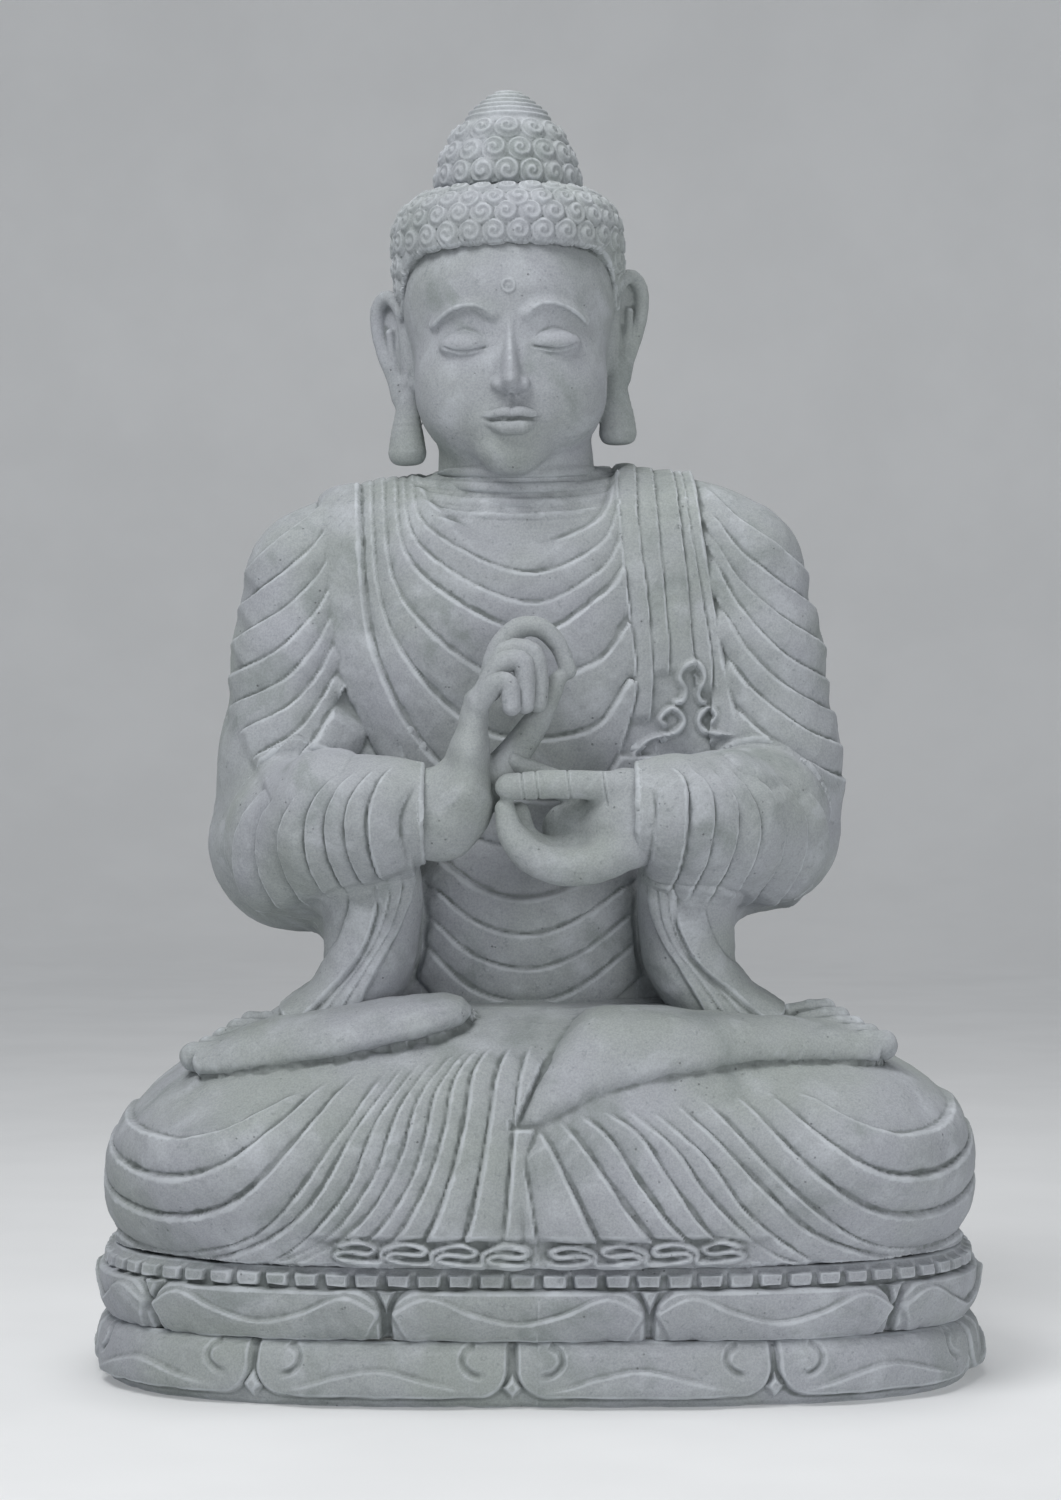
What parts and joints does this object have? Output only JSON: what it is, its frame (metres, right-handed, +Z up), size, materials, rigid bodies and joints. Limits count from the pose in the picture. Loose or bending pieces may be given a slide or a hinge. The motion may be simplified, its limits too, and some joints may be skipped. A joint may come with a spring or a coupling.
{
  "type": "seated buddha statue",
  "caption": "Carved stone statue of a robed figure seated cross-legged in the teaching gesture on a low lotus base, free-standing on a flat underside.",
  "frame": {"origin": "centre of the lotus base's underside", "axes": "+Z up, the figure faces -Y, its left hand side is at +X"},
  "size_m": [1.0378, 0.664, 1.5],
  "materials": {
    "carved_stone": "carved volcanic stone, matt, lightly rubbed on the ridges",
    "mortar": "fine lime mortar, matt",
    "lead": "dull lead sheet",
    "stainless_steel": "plain stainless bar"
  },
  "bodies": {
    "root": {"lower_lotus_course": "carved_stone", "upper_lotus_course": "carved_stone", "lap_block": "carved_stone", "torso_block": "carved_stone", "right_forearm": "carved_stone", "left_forearm": "carved_stone", "right_hand": "carved_stone", "left_hand": "carved_stone", "head": "carved_stone", "crown": "carved_stone", "plinth_bed": "mortar", "seat_bed": "mortar", "waist_bed": "mortar", "neck_bed": "mortar", "crown_bed": "mortar", "forearm_beds": "mortar", "wrist_beds": "mortar", "setting_shims": "lead", "plinth_dowels": "stainless_steel", "seat_dowels": "stainless_steel", "waist_dowels": "stainless_steel", "neck_dowel": "stainless_steel", "crown_dowel": "stainless_steel", "forearm_dowels": "stainless_steel", "wrist_dowels": "stainless_steel"}
  },
  "joints": []
}
